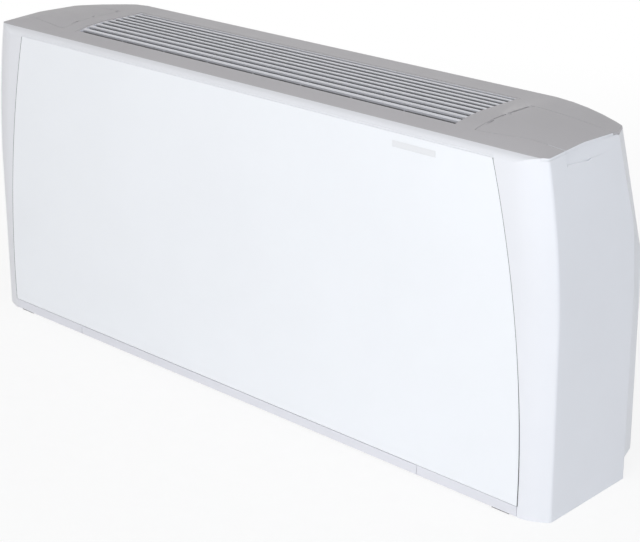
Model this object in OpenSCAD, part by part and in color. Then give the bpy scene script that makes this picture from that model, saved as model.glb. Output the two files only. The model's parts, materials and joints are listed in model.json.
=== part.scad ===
// Vertical wall-hung fan coil unit with a moulded and sheet metal cabinet.
// X runs along the cabinet, the front faces -Y, Z is up, and the origin is under the middle of the box.

/* [Cabinet] */
// Overall width
cab_w = 1200; // [1160:5:1300]
// Overall depth, front panel to wall
cab_d = 225; // [222:1:240]
// Overall height
cab_h = 530; // [525:1:560]
// Wall of the moulded side panels
side_wall = 3; // [2.5:0.1:4]
// Height up to which the sides stand straight
lean_z = 250; // [220:5:280]
// Radius of the inward lean of the sides
lean_r = 1300; // [1200:10:1600]
// Radius of the plan sweep between front and side
sweep_r = 85; // [80:1:95]
// Width of that sweep along the front
sweep_w = 55; // [50:1:60]
// Radius of the upright front corners
corner_r = 7; // [5:0.5:9]
// Depth of the tapered strip next to the wall
taper_d = 30; // [26:1:34]
// How far the tapered strip leans in
taper_in = 10; // [6:1:14]
// Height of the skirting notch
skirt_h = 34; // [28:1:38]
// Width of the side panel's face at the foot of the front
side_foot = 43; // [40:1:48]
// Radius of the curved front seams
seam_r = 1680; // [1600:10:1900]
// Height where the front seams stand upright
seam_z = 60; // [40:5:80]
// Width of the visible seams
seam_gap = 0.8; // [0.5:0.1:0.9]

/* [Top] */
// Thickness of the top cover and the flaps
cover_t = 3; // [2.5:0.1:3.5]
// Clearance under the top cover and the flaps
cover_fit = 0.4; // [0.3:0.1:0.6]
// Radius of the crown from the front edge to the crest
crown_r = 325; // [310:5:350]
// Distance of the crest from the front
crest_d = 110; // [104:1:114]
// Radius of the roll at the head of the front
roll_r = 14; // [12:0.5:16]
// Depth of the white edge in front of the grey top
lip_d = 14; // [13:0.5:16]
// Height of the white band above the front panel, measured from the top
band_h = 25; // [23:1:27]
// Radius of the roll down to each end, seen from the front
end_roll_r = 830; // [780:5:900]
// Turn of that roll toward the front, in degrees
end_turn_front = 20; // [15:1:24]
// Turn of that roll toward the rear, in degrees
end_turn_rear = 10; // [6:1:12]
// Radius of the roll at the rear corners
rear_roll_r = 200; // [180:1:220]
// Length of that roll inside the corner, along the diagonal
rear_roll_run = 124; // [112:1:124]
// How far the bevel at the rear corners comes in under the top
bevel_in = 51; // [40:1:54]
// Number of outlet slots
slot_n = 10; // [8:1:10]
// Pitch of the outlet slots
slot_pitch = 14.3; // [13.5:0.1:14.6]
// Width of an outlet slot
slot_w = 8; // [6:0.5:9]
// Distance of the first slot's centre from the front
slot_d = 47; // [46:0.5:50]
// Distance from the end of the slots to the end of the cabinet
slot_end = 201; // [200:1:250]
// Depth of the grille's fins
fin_depth = 15; // [12:0.5:18]
// Length of an access flap's place, from the end of the cabinet to its hinge seam
flap_w = 165; // [155:1:170]
// Distance of the flap's front seam from the front, at the hinge
flap_d0 = 40; // [39:0.5:42]
// How much further back that seam is at the end
flap_skew = 20; // [0:1:22]
// Distance of the flap's rear seam from the front
flap_d1 = 165; // [160:1:170]
// Radius of the hinge knuckles
knuckle_r = 3; // [2.6:0.1:3.4]
// Radius of the hinge pin
hinge_pin_r = 1.25; // [1:0.05:1.4]
// Depth of the finger scoop under the flap's end, where it is deepest
scoop_depth = 2.2; // [1:0.1:2.4]
// Length of the finger scoop
scoop_len = 105; // [90:1:110]

/* [Front and base] */
// Thickness of the painted sheet of the front panel
panel_t = 1.2; // [0.8:0.1:1.5]
// Depth of the panel's folded edges
panel_fold = 12; // [10:0.5:13]
// Height of the strip below the front panel
strip_h = 16.5; // [16:0.5:18]
// Width of the blank badge plate
badge_w = 77; // [60:1:90]
// Height of the badge plate
badge_h = 9; // [7:0.5:10]
// Thickness of the foot pads
pad_t = 1.5; // [1:0.1:2]
// Wall of the base rails
rail_wall = 2.5; // [2:0.1:3]

/* [Filter] */
// Distance from the filter's front bar to the end of the cabinet
filter_end = 224; // [220:1:250]
// Depth of the filter behind its front bar
filter_d = 185; // [178:1:186]
// Thickness of the filter frame
filter_t = 8; // [6:0.5:8.5]
// Clearance of the filter in its guides
filter_fit = 0.4; // [0.3:0.1:0.6]

/* [Chassis] */
// Thickness of the galvanised sheet
sheet = 1.2; // [1:0.1:1.5]
// Width of the service bay at each end
bay_w = 160; // [155:1:165]
// Height of the fan deck
deck_z = 222; // [220:1:226]
// Radius of the wall fixing holes
wall_hole_r = 4.5; // [3.5:0.25:5]
// Distance of the wall fixing holes from the end of the cabinet
wall_hole_in = 142; // [135:1:150]
// Distance between the wall fixing holes up the wall
wall_hole_z = 320; // [280:5:340]

/* [Fan] */
// Outer radius of an impeller
wheel_r = 74; // [70:0.5:75]
// Width of an impeller
wheel_w = 176; // [160:1:178]
// Number of blades
blade_n = 32; // [24:1:36]
// Distance of each fan from the middle
fan_x = 225; // [220:1:250]
// Radius of the shaft
shaft_r = 6; // [5:0.25:7]
// Running clearance of the shaft in its bearings
shaft_fit = 0.03; // [0.02:0.01:0.08]
// Radius of the motor
motor_r = 46; // [40:0.5:50]
// Half length of the motor's shell
motor_half = 50; // [44:1:54]

/* [Coil] */
// Tubes in each of the coil's two rows
tube_n = 8; // [6:2:8]
// Height left free above and below the coil
coil_room = 100; // [100:1:108]
// Distance between the two rows
row_pitch = 22; // [21:0.5:23]
// Outer radius of the tubes
tube_r = 4.8; // [4:0.1:5]
// Number of fins
fin_n = 31; // [21:1:41]
// Lean of the coil from upright, in degrees
coil_tilt = 25; // [22:1:27]
// Radius of the threaded water sockets
socket_r = 9.3; // [7:0.1:10]
// Depth of the water sockets
socket_depth = 16; // [12:0.5:18]
// Radius of the drain spigot
spigot_r = 8; // [6:0.5:9]

/* [Controls] */
// Radius of the knobs
knob_r = 16; // [12:0.5:18]
// Radius of the cable gland's hole
gland_r = 5.5; // [4:0.25:6.5]

/* [Hidden] */
$fn = 96;

white = [0.95, 0.95, 0.96];
pale = [0.88, 0.88, 0.9];
grey = [0.66, 0.66, 0.68];
zinc = [0.72, 0.74, 0.76];
dark = [0.15, 0.15, 0.16];
copper = [0.78, 0.48, 0.32];
brass = [0.8, 0.66, 0.36];

// A small overlap that lets cuts pass through and joined solids share volume
eps = 0.5;
// A length that reaches past anything it cuts
far = 60;
half_w = cab_w / 2;
front = -cab_d / 2;
back = cab_d / 2;

// Centre of the plan sweep, and of the fillet between it and the side
sweep_c = [half_w - sweep_w, front + sweep_r];
corner_dx = sweep_w - corner_r;
corner_dy = sqrt(pow(sweep_r - corner_r, 2) - pow(corner_dx, 2));
corner_c = [half_w - corner_r, sweep_c.y - corner_dy];
corner_a = -acos(corner_dx / (sweep_r - corner_r));
// Angle between the end of the sweep and the next point on the fillet
corner_step = 10;
// Angle of the side's lean at its upper end
lean_deg = 17;
// Inner limits of a side panel's plan and of an end's top, and where the plain middle of the top ends
end_x = half_w - 130;
top_end_x = half_w - 160;
top_split_x = half_w - 175;

// Centre of the crown and of the roll at the head of the front, as depth and height
crown_c = [crest_d, cab_h - crown_r];
roll_c = [roll_r, crown_c.y + sqrt(pow(crown_r - roll_r, 2) - pow(crest_d - roll_r, 2))];
roll_a = acos((roll_c.x - crown_c.x) / (crown_r - roll_r));
// Angle between the end of the roll and the next point on the crown
crown_step = 0.4;
// Turn and tilt of the bevel at the rear corners, and its height under the corner of the top
bevel_turn = 30;
bevel_tilt = 11.7;
bevel_z = cab_h - 30;

panel_z0 = strip_h + seam_gap;
panel_z1 = cab_h - band_h;
seam_foot_x = half_w - side_foot;
seam_top_x = seam_x(panel_z1);

badge_x = half_w - 199;
badge_z = panel_z1 - 20;
badge_t = 0.6;
badge_fit = 0.1;

hinge_x = half_w - flap_w + knuckle_r + seam_gap;
hinge_z = cab_h - knuckle_r;
hinge_fit = 0.05;
hinge_gap = 0.4;
lug_w = 6;
barrel_w = 45;
barrel_d0 = flap_d1 - seam_gap - lug_w - barrel_w - hinge_gap;
barrel_d1 = barrel_d0 + barrel_w;

slot_len = cab_w - 2 * slot_end;
grille_rim = 1;
grille_end = 4;
grille_d0 = slot_d - slot_pitch / 2 - grille_rim;
grille_d1 = slot_d + (slot_n - 0.5) * slot_pitch + grille_rim;
grille_half = slot_len / 2 + grille_end;
grille_gap = 0.5;
flange_t = 2.5;
ledge = 4;
rail_t = 2.5;
rail_d1 = grille_d0 - grille_gap - flange_t - 3;

base_z = strip_h - 0.5;
floor_gap = pad_t;
filter_half = half_w - filter_end;
frame_half = filter_half - 4;
filter_bar_t = 5;
filter_z = base_z - filter_t - 4;
guide_t = 3;
guide_lip = 8;

chassis_x = half_w - bay_w;
chassis_d0 = 30;
plate_z0 = base_z + sheet;
plate_z1 = cab_h - 27;
notch_d = cab_d - taper_d;
back_z0 = skirt_h + 6;
wall_hole_x = half_w - wall_hole_in;
back_half = wall_hole_x + 17;
back_z1 = cab_h - 25;
wall_hole_z0 = back_z0 + 80;

fan_d = 108;
fan_z = 116;
scroll_wall = 2;
scroll_r0 = wheel_r + 8;
scroll_growth = 18;
scroll_a0 = 60;
scroll_half = wheel_w / 2 + 7;
inlet_r = wheel_r - 12;
shaft_half = fan_x + 26;
bearing_r = shaft_r + 5;
bearing_w = 8;
boss_r = bearing_r + 3;
boss_half = motor_half + 16;
mount_r = boss_r + 7;
mount_w = 7;
bracket_half_w = 33;

coil_d = 118;
coil_half = chassis_x - 35;
fin_t = 0.5;
tube_pitch = (cab_h - deck_z - coil_room) / tube_n;
coil_h = tube_n * tube_pitch;
coil_t = 2 * row_pitch;
coil_rim = 2;
tube_fit = 0.15;
end_plate_x = coil_half + 3;
bend_x = end_plate_x + 7;
header_x = chassis_x + 22;
header_w = 20;
header_dy = row_pitch - 2;
header_dz = 7 / 13 * tube_pitch;
socket_wall = 5;
socket_len = 20;
header_z = (tube_n - 1) / 2 * tube_pitch;

pan_d0 = 40;
pan_d1 = 104;
pan_z = deck_z + sheet + 15;
pan_wall = 2;
pan_h = 18;
pan_left = chassis_x + 60;
pan_right = chassis_x - 20;
pan_fit = 1.5;
// Height of the coil's middle, so that its lowest corner stays clear of the drain pan's floor
coil_clear = 9.7;
coil_half_rise = (coil_h / 2 + tube_pitch / 4 + coil_rim) * cos(coil_tilt)
    + (coil_t / 2 + coil_rim) * sin(coil_tilt);
coil_z = pan_z + pan_wall + coil_clear + coil_half_rise;
spigot_x = pan_left - 14;
spigot_len = 25;

boss_screw_r = 2;
screw_fit = 0.1;
screw_len = 9;
bracket_w = 20;
bracket_rise = 16;
panel_boss_r = 8;
top_boss = [cab_d - 15, cab_h - 160];
foot_boss = [75, plate_z0 + bracket_rise / 2 + 2];
top_boss_x = half_w - 40;
foot_boss_x = half_w - 15;

box_d0 = 120;
box_d1 = 200;
box_z0 = 150;
box_z1 = 250;
box_w = 55;
box_wall = 2.5;
box_lid_t = 2.5;
gland_len = 15;

control_d0 = 55;
control_d1 = 150;
control_z = cab_h - 38;
control_w = 112;
control_wall = 2.5;
control_h = 22;
stem_r = 3;
stem_fit = 0.05;
knob_h = 13;
knob_gap = 0.4;
knob_d = 102;
thermostat_x = chassis_x + 35;
speed_x = chassis_x + 82;

// Half width of the front panel at height z
function seam_x(z) = seam_foot_x - seam_r + sqrt(pow(seam_r, 2) - pow(z - seam_z, 2));
// Height of the top at depth d behind the front, sunk by inset
function top_z(d, inset) = d > crest_d ? cab_h - inset
    : crown_c.y + sqrt(pow(crown_r - inset, 2) - pow(crest_d - d, 2));

// Outer forms
// Places a child whose 2D x is depth behind the front and 2D y is height, drawn out along X
module along_x(x0, x1) {
    translate([x0, front, 0])
        rotate([90, 0, 90])
            linear_extrude(x1 - x0)
                children();
}

// A box given by its x, depth and height limits
module block(x0, x1, d0, d1, z0, z1) {
    translate([x0, front + d0, z0])
        cube([x1 - x0, d1 - d0, z1 - z0]);
}

// A rod along X at a depth and height
module rod_x(x0, x1, d, z, r) {
    translate([x0, front + d, z])
        rotate([0, 90, 0])
            cylinder(r = r, h = x1 - x0);
}

// A rod along Y at an x and a height, from one depth to another
module rod_y(d0, d1, x, z, r) {
    translate([x, front + d1, z])
        rotate([90, 0, 0])
            cylinder(r = r, h = d1 - d0);
}

// Points along an arc
function arc(c, r, a0, a1, n) = [
    for (i = [0 : n])
        let (a = a0 + (a1 - a0) * i / n)
            c + r * [cos(a), sin(a)]
];
function reversed(list) = [for (i = [len(list) - 1 : -1 : 0]) list[i]];

// Outer edge of the right-hand end's plan, from the front at x0 round to the wall, drawn in by inset
function end_edge(inset, over, x0) = concat(
    [[x0, front + inset]],
    arc(sweep_c, sweep_r - inset, -90, corner_a, 10),
    arc(corner_c, corner_r - inset, corner_a + corner_step, 0, 5),
    [
        [half_w - inset, back - taper_d],
        [half_w - inset - taper_in * (1 + over / taper_d), back + over]
    ]
);

module end_plan(inset, over, x0) {
    polygon(concat(end_edge(inset, over, x0), [[x0, back + over]]));
}

// Plan of the right-hand side panel's wall, from one depth inside the surface to another
module wall_plan(inset0, inset1, x0) {
    polygon(concat(end_edge(inset0, 0, x0), reversed(end_edge(inset1, 0, x0))));
}

// A plan drawn up along the arc of the side's lean
module lean_up() {
    translate([half_w - lean_r, 0, lean_z])
        rotate([90, 0, 0])
            rotate_extrude(angle = lean_deg, $fn = 360)
                mirror([0, 1])
                    translate([lean_r - half_w, 0])
                        children();
}

// A plan drawn straight up to the lean height, then along the lean's arc
module draw_up() {
    linear_extrude(lean_z)
        children();
    lean_up()
        children();
}

// Top of the side view from the front's head to depth d_end before the crest, drawn in by inset
function head_edge(inset, d_end) = concat(
    arc(roll_c, roll_r - inset, 180, roll_a, 6),
    arc(crown_c, crown_r - inset, roll_a - crown_step, acos((d_end - crest_d) / (crown_r - inset)), 8)
);

// Side view of the cabinet as depth and height, drawn in by inset at the front and the top
module side_section(inset) {
    polygon(concat(
        [[inset, -far]],
        head_edge(inset, crest_d),
        [[cab_d + far, cab_h - inset], [cab_d + far, -far]]
    ));
}

// A strip of the top behind the white edge, between two depths below its surface, as a side view
module top_strip(inset0, inset1, d0, d1) {
    step_n = 8;
    bend = max(d0, min(d1, crest_d));
    curved = bend > d0 ? [for (i = [0 : step_n]) d0 + (bend - d0) * i / step_n] : [d0];
    depths = concat(curved, bend < d1 ? [d1] : []);
    polygon(concat(
        [for (d = depths) [d, top_z(d, inset0)]],
        [for (d = reversed(depths)) [d, top_z(d, inset1)]]
    ));
}

// What a roll of radius r takes away from the top at the right-hand end, sunk by inset. It starts from a
// line through x and depth d, turned in plan, and its section runs down from angle a0 to angle a1
module roll_cut(x, d, turn, r, a0, a1, inset) {
    reach = cab_d * 1.5;
    step_n = 16;
    translate([x, front + d, cab_h - r])
        rotate([0, 0, turn])
            translate([0, reach, 0])
                rotate([90, 0, 0])
                    linear_extrude(2 * reach)
                        polygon(concat(
                            [[0, r + far], [0, r - inset + eps]],
                            arc([0, 0], r - inset, a0, a1, step_n),
                            [[r + far, (r - inset) * sin(a1)], [r + far, r + far]]
                        ));
}

// A slab along the bevel at the right rear corner, between two distances out from its face
module rear_bevel(out0, out1) {
    reach = cab_d;
    translate([half_w - bevel_in, back, bevel_z])
        rotate([0, -bevel_tilt, bevel_turn])
            translate([out0, -reach, -reach])
                cube([out1 - out0, 2 * reach, 2 * reach]);
}

// Everything under the top at the right-hand end, sunk by inset
module under_top(inset) {
    rear_in = rear_roll_run * sqrt(2);
    difference() {
        along_x(top_end_x - far, half_w + far)
            side_section(inset);
        for (turn = [-end_turn_front, end_turn_rear])
            roll_cut(top_end_x, crest_d, turn, end_roll_r, 88, 74, inset);
        roll_cut(half_w - rear_in, cab_d, 45, rear_roll_r, 87, 6, inset);
    }
}

// Skin of the top at the right-hand end, from one depth below the surface to another
module end_skin(inset0, inset1) {
    difference() {
        intersection() {
            lean_up()
                end_plan(0, 0, top_end_x);
            under_top(inset0);
            block(top_split_x, half_w + far, lip_d, cab_d + far, lean_z, cab_h + far);
        }
        under_top(inset1);
        rear_bevel(0, far);
    }
}

// Front panel's outline in x and height, drawn in by inset
module panel_outline(inset) {
    step_n = 24;
    low = panel_z0 + inset;
    rise = panel_z1 - panel_z0 - 2 * inset;
    heights = [for (i = [0 : step_n]) low + rise * i / step_n];
    polygon(concat(
        [for (z = heights) [seam_x(z) - inset, z]],
        [for (z = reversed(heights)) [inset - seam_x(z), z]]
    ));
}

// A child given in x and height, drawn back from the front between two depths
module from_front(d0, d1) {
    translate([0, front + d1, 0])
        rotate([90, 0, 0])
            linear_extrude(d1 - d0)
                children();
}

// Cabinet
module front_panel() {
    rib_h = 10;
    rib_w = 40;
    rib_half = seam_top_x - 25;
    color(white) {
        difference() {
            from_front(0, panel_t)
                panel_outline(0);
            block(badge_x - badge_w, badge_x, -1, badge_t, badge_z, badge_z + badge_h);
        }
        from_front(panel_t, panel_fold)
            difference() {
                panel_outline(0);
                panel_outline(panel_t);
            }
        for (share = [1 / 3, 2 / 3])
            translate([0, 0, panel_z0 + share * (panel_z1 - panel_z0)])
                along_x(-rib_half, rib_half)
                    difference() {
                        translate([panel_t, -rib_w / 2])
                            square([rib_h, rib_w]);
                        translate([panel_t - eps, panel_t - rib_w / 2])
                            square([rib_h + eps - panel_t, rib_w - 2 * panel_t]);
                    }
    }
}

module badge_plate() {
    color(grey)
        block(badge_x - badge_w + badge_fit, badge_x - badge_fit, badge_fit, badge_t, badge_z + badge_fit,
            badge_z + badge_h - badge_fit);
}

module front_top_rail() {
    ledge_in = cover_t + cover_fit;
    foot_z = panel_z1 + seam_gap;
    color(white) {
        intersection() {
            along_x(-seam_top_x, seam_top_x)
                head_strip(rail_t);
            block(-half_w, half_w, 0, lip_d, foot_z, cab_h);
        }
        along_x(-seam_top_x, seam_top_x)
            top_strip(eps, ledge_in + rail_t, lip_d - rail_t, lip_d);
        along_x(-seam_top_x, seam_top_x)
            top_strip(ledge_in, ledge_in + rail_t, lip_d - eps, rail_d1);
        block(-seam_top_x, seam_top_x, rail_t / 2, panel_fold, foot_z, foot_z + rail_t);
    }
}

// The white edge at the head of the front, as a side view
module head_strip(thick) {
    polygon(concat(head_edge(0, lip_d), reversed(head_edge(thick, lip_d))));
}

scoop_d = flap_d0 + flap_skew - 3;
scoop_z = cab_h - 34;

// The finger scoop in the right-hand side: deepest at the front, running out toward the rear
module finger_scoop() {
    bow_r = 500;
    bow_a = asin(scoop_len / 2 / bow_r);
    bow_c = [scoop_d + scoop_len / 2, scoop_z + bow_r];
    lens_r = 20;
    lens_a = 28;
    lens_d = scoop_d + 0.43 * scoop_len;
    groove_depth = scoop_depth + 0.2;
    difference() {
        along_x(half_w - sweep_w, half_w + far)
            polygon(concat(
                arc(bow_c, bow_r, -90 - bow_a, -90 + bow_a, 12),
                [[scoop_d + scoop_len, cab_h + far], [scoop_d, cab_h + far]]
            ));
        lean_up()
            polygon([
                [end_x, front], [half_w - scoop_depth, front], [half_w - scoop_depth, front + scoop_d],
                [half_w, front + scoop_d + scoop_len], [half_w, back], [end_x, back]
            ]);
    }
    // Upright seam in front of the scoop, and the small notch under its edge
    difference() {
        union() {
            block(half_w - sweep_w, half_w + far, scoop_d - seam_gap, scoop_d, scoop_z, cab_h + far);
            along_x(half_w - sweep_w, half_w + far)
                polygon(arc([lens_d, scoop_z + lens_r * cos(lens_a) + seam_gap], lens_r, -90 - lens_a,
                    -90 + lens_a, 8));
        }
        lean_up()
            end_plan(groove_depth, 0, end_x);
    }
}

module side_panel() {
    rib_t = 2;
    rib_h = 8;
    cut_d = panel_fold + 2;
    inner_x = half_w - side_wall;
    difference() {
        union() {
            intersection() {
                draw_up()
                    wall_plan(0, side_wall, end_x);
                under_top(0);
            }
            // The white edge over the front
            intersection() {
                lean_up()
                    end_plan(0, 0, end_x);
                along_x(end_x - far, half_w)
                    head_strip(2 * side_wall);
                under_top(0);
            }
            // The wall behind the rear bevel
            intersection() {
                lean_up()
                    end_plan(side_wall - eps, 0, end_x);
                under_top(0);
                rear_bevel(-side_wall, eps);
            }
            for (z = [lean_z / 3, 2 * lean_z / 3])
                block(inner_x - rib_h, inner_x + eps, sweep_r / 2, notch_d - rib_h, z, z + rib_t);
            intersection() {
                draw_up()
                    end_plan(side_wall - eps, 0, end_x);
                union() {
                    rod_x(top_boss_x, half_w, top_boss[0], top_boss[1], panel_boss_r);
                    rod_x(foot_boss_x, half_w, foot_boss[0], foot_boss[1], panel_boss_r);
                }
            }
        }
        // Seat of the top cover and the flap
        difference() {
            block(end_x - far, half_w + far, lip_d - eps / 2, cab_d + far, panel_z1 - 2 * far,
                cab_h + far);
            under_top(cover_t + cover_fit);
        }
        // Place of the front panel, the rail above it and the strip below it
        from_front(-far, cut_d)
            panel_outline(-seam_gap);
        block(0, seam_top_x, -far, rail_d1 + 1, panel_z1, cab_h + far);
        block(0, seam_foot_x - eps, -far, cut_d, -far, panel_z0);
        // Skirting notch
        block(end_x - far, half_w + far, notch_d, cab_d + far, -far, skirt_h);
        rear_bevel(0, far);
        finger_scoop();
        // Screw holes in the bosses
        for (at = [[top_boss_x, top_boss], [foot_boss_x, foot_boss]])
            rod_x(at[0] - 1, at[0] + screw_len + 1, at[1][0], at[1][1], boss_screw_r + screw_fit);
    }
}

module right_side_panel() {
    color(white)
        side_panel();
}

module left_side_panel() {
    color(white)
        mirror([1, 0, 0])
            side_panel();
}

// Hinge lug of the top cover at depth d, with its web to the cover
module hinge_lug(d) {
    difference() {
        union() {
            rod_y(d, d + lug_w, hinge_x, hinge_z, knuckle_r);
            block(half_w - flap_w - lug_w, hinge_x, d, d + lug_w, hinge_z - knuckle_r, cab_h);
        }
        rod_y(d - 1, d + lug_w + 1, hinge_x, hinge_z, hinge_pin_r + hinge_fit / 2);
    }
}

// The place of the right-hand flap in plan, drawn in by gap. Its front seam is square beside
// the hinge, so that the lower edge turns clear of the cover, and slants from there on
module flap_field(gap) {
    seam = half_w - flap_w + gap;
    end = half_w + far;
    turn_x = hinge_x + 3 * knuckle_r;
    d0 = flap_d0 + gap;
    d1 = flap_d1 - gap;
    end_d0 = d0 + flap_skew * (end - turn_x) / (half_w - turn_x);
    translate([0, front, lean_z])
        linear_extrude(cab_h + far - lean_z)
            polygon([[seam, d0], [turn_x, d0], [end, end_d0], [end, d1], [seam, d1]]);
}

module top_cover_half() {
    flange_in = cover_t + fin_depth + 2;
    ledge_in = fin_depth + 2;
    rear_in = 10;
    rear_t = 2;
    open_d0 = grille_d0 - grille_gap;
    open_d1 = grille_d1 + grille_gap;
    open_x = grille_half + grille_gap;
    difference() {
        end_skin(0, cover_t);
        flap_field(0);
    }
    // Strips in front of and behind the grille, and the field beside it
    along_x(0, top_split_x + eps) {
        top_strip(0, cover_t, lip_d, open_d0);
        top_strip(0, cover_t, open_d1, cab_d);
    }
    along_x(open_x, top_split_x + eps)
        top_strip(0, cover_t, open_d0 - eps, open_d1 + eps);
    // Folded edge and ledge that carry the grille
    along_x(0, open_x + flange_t) {
        top_strip(eps, flange_in, open_d0 - flange_t, open_d0);
        top_strip(eps, flange_in, open_d1, open_d1 + flange_t);
        top_strip(ledge_in, flange_in, open_d0 - eps, open_d0 + ledge);
        top_strip(ledge_in, flange_in, open_d1 - ledge, open_d1 + eps);
    }
    along_x(open_x, open_x + flange_t)
        top_strip(eps, flange_in, open_d0 - eps, open_d1 + eps);
    // Rear flange that stands on the back plate
    block(0, chassis_x - rear_in, cab_d - 2 * rear_t, cab_d - rear_t, back_z1, cab_h - eps);
    hinge_lug(barrel_d0 - hinge_gap - lug_w);
    hinge_lug(barrel_d1 + hinge_gap);
}

module top_cover() {
    color(grey) {
        top_cover_half();
        mirror([1, 0, 0])
            top_cover_half();
    }
}

// Side view of a grille fin between two depths, leaning back as it goes down
module fin_section(d0, d1, sink, bottom) {
    lean = 7;
    taper = 1;
    foot = top_z((d0 + d1) / 2, bottom);
    polygon([
        [d0, top_z(d0, sink)], [d1, top_z(d1, sink)],
        [d1 - taper + lean, foot], [d0 + taper + lean, foot]
    ]);
}

module outlet_grille() {
    rib_step = 100;
    rib_t = 2.4;
    rib_sink = 5;
    sink = 0.4;
    bottom = fin_depth + 1.8;
    last_d = slot_d + (slot_n - 1) * slot_pitch;
    end_mid = grille_half - grille_end / 2;
    color(pale) {
        along_x(-grille_half, grille_half) {
            for (i = [1 : slot_n - 1])
                fin_section(slot_d + (i - 1) * slot_pitch + slot_w / 2, slot_d + i * slot_pitch - slot_w / 2,
                    sink, bottom);
            top_strip(sink, bottom, grille_d0, slot_d - slot_w / 2);
            top_strip(sink, bottom, last_d + slot_w / 2, grille_d1);
        }
        for (side = [-1, 1])
            along_x(side * end_mid - grille_end / 2, side * end_mid + grille_end / 2)
                top_strip(sink, bottom, grille_d0, grille_d1);
        for (x = [-3 * rib_step : rib_step : 3 * rib_step])
            along_x(x - rib_t / 2, x + rib_t / 2)
                top_strip(rib_sink, bottom, grille_d0, grille_d1);
    }
}

module flap() {
    seam = half_w - flap_w + seam_gap;
    d1 = flap_d1 - seam_gap;
    rib_t = 2;
    rib_h = 5;
    difference() {
        union() {
            difference() {
                intersection() {
                    end_skin(0, cover_t);
                    flap_field(seam_gap);
                }
                // The hinge edge is rounded about the pin, so that it turns clear of the cover
                difference() {
                    block(seam - 1, hinge_x, 0, cab_d, hinge_z, cab_h + far);
                    rod_y(0, cab_d, hinge_x, hinge_z, knuckle_r);
                }
                // Notches for the cover's lugs
                for (d = [barrel_d0 - 2 * hinge_gap - lug_w, barrel_d1])
                    block(seam - 1, hinge_x + knuckle_r + hinge_gap, d, d + lug_w + 2 * hinge_gap,
                        lean_z, cab_h + far);
            }
            rod_y(barrel_d0, barrel_d1, hinge_x, hinge_z, knuckle_r);
            block(hinge_x, hinge_x + 2 * knuckle_r, barrel_d0, barrel_d1, cab_h - cover_t, cab_h);
            for (d = [flap_d0 + flap_skew + rib_t, d1 - 3 * rib_t])
                intersection() {
                    difference() {
                        under_top(eps);
                        under_top(cover_t + rib_h);
                    }
                    block(hinge_x + 4 * knuckle_r, half_w - sweep_w, d, d + rib_t, lean_z, cab_h);
                }
        }
        rod_y(0, cab_d, hinge_x, hinge_z, hinge_pin_r + hinge_fit);
    }
}

module right_flap() {
    color(grey)
        flap();
}

module left_flap() {
    color(grey)
        mirror([1, 0, 0])
            flap();
}

module hinge_pin(side) {
    color(zinc)
        rod_y(barrel_d0 - hinge_gap - lug_w, barrel_d1 + lug_w, side * hinge_x, hinge_z, hinge_pin_r);
}

module left_hinge_pin() {
    hinge_pin(-1);
}

module right_hinge_pin() {
    hinge_pin(1);
}

// Base
pad_x0 = half_w - 87;
pad_x1 = half_w - 57;

module base_rail() {
    shelf_d = 40;
    lip = 12;
    rail_x0 = filter_half + seam_gap;
    rail_x1 = seam_foot_x - 2 * eps;
    color(pale) {
        along_x(rail_x0, rail_x1)
            difference() {
                translate([0, floor_gap])
                    square([shelf_d, base_z - floor_gap]);
                translate([rail_wall, floor_gap + rail_wall])
                    square([shelf_d, base_z - floor_gap - 2 * rail_wall]);
                translate([lip, floor_gap - eps])
                    square([shelf_d, rail_wall + 2 * eps]);
            }
        along_x(rail_x0, rail_x1)
            translate([0, base_z - eps])
                square([rail_wall, strip_h - base_z + eps]);
        // Rib that the front panel stands on
        along_x(rail_x0 + 20, rail_x1 - 20)
            translate([rail_wall + 1, base_z - eps])
                square([4, panel_z0 - base_z + eps]);
    }
}

module right_base_rail() {
    base_rail();
}

module left_base_rail() {
    mirror([1, 0, 0])
        base_rail();
}

module foot_pads() {
    color(dark)
        for (side = [0, 1])
            mirror([side, 0, 0])
                block(pad_x0, pad_x1, 1, 11, 0, pad_t);
}

// Filter
module filter_frame() {
    rim = 10;
    rib = 4;
    bay_n = 6;
    bay = (2 * frame_half - 2 * rim + rib) / bay_n;
    depth = filter_d - 2 * rim;
    color(dark) {
        translate([0, front + filter_bar_t, filter_z])
            linear_extrude(filter_t)
                difference() {
                    translate([-frame_half, 0])
                        square([2 * frame_half, filter_d]);
                    for (i = [0 : bay_n - 1], j = [0, 1])
                        translate([-frame_half + rim + i * bay, rim + j * (depth + rib) / 2])
                            square([bay - rib, (depth - rib) / 2]);
                }
    }
}

module filter_bar() {
    color(pale)
        block(-filter_half, filter_half, 0, filter_bar_t, floor_gap, strip_h - filter_fit);
}

module filter_mesh() {
    mesh_t = 1;
    edge = 4;
    color([0.8, 0.82, 0.84])
        block(-frame_half + 12, frame_half - 12, filter_bar_t + edge, filter_bar_t + filter_d - edge,
            filter_z + filter_t, filter_z + filter_t + mesh_t);
}

module filter_guides() {
    guide_d0 = filter_bar_t + 7;
    wall_x = frame_half + filter_fit;
    lip_z = filter_z - filter_fit;
    color(dark)
        for (side = [0, 1])
            mirror([side, 0, 0]) {
                block(wall_x, wall_x + guide_t, guide_d0, notch_d - sheet, lip_z - rail_wall, base_z);
                block(wall_x - guide_lip, wall_x + eps, guide_d0, notch_d - sheet, lip_z - rail_wall, lip_z);
                block(wall_x - guide_lip, wall_x + eps, guide_d0, notch_d - sheet, base_z - 1.5, base_z);
            }
}

// Chassis
module intake_frame() {
    opening_half = frame_half - 10;
    color(zinc) {
        difference() {
            block(-chassis_x, chassis_x, panel_fold + 2, notch_d, base_z, plate_z0);
            block(-opening_half, opening_half, panel_fold + 10, notch_d - 10, base_z - 1, plate_z0 + 1);
        }
        block(-chassis_x, chassis_x, notch_d - sheet, notch_d, plate_z0 - eps, back_z0);
    }
}

// Places a child in the coil's own frame: z runs up the slope, y through its thickness
module coil_place() {
    translate([0, front + coil_d, coil_z])
        rotate([-coil_tilt, 0, 0])
            children();
}

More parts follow.
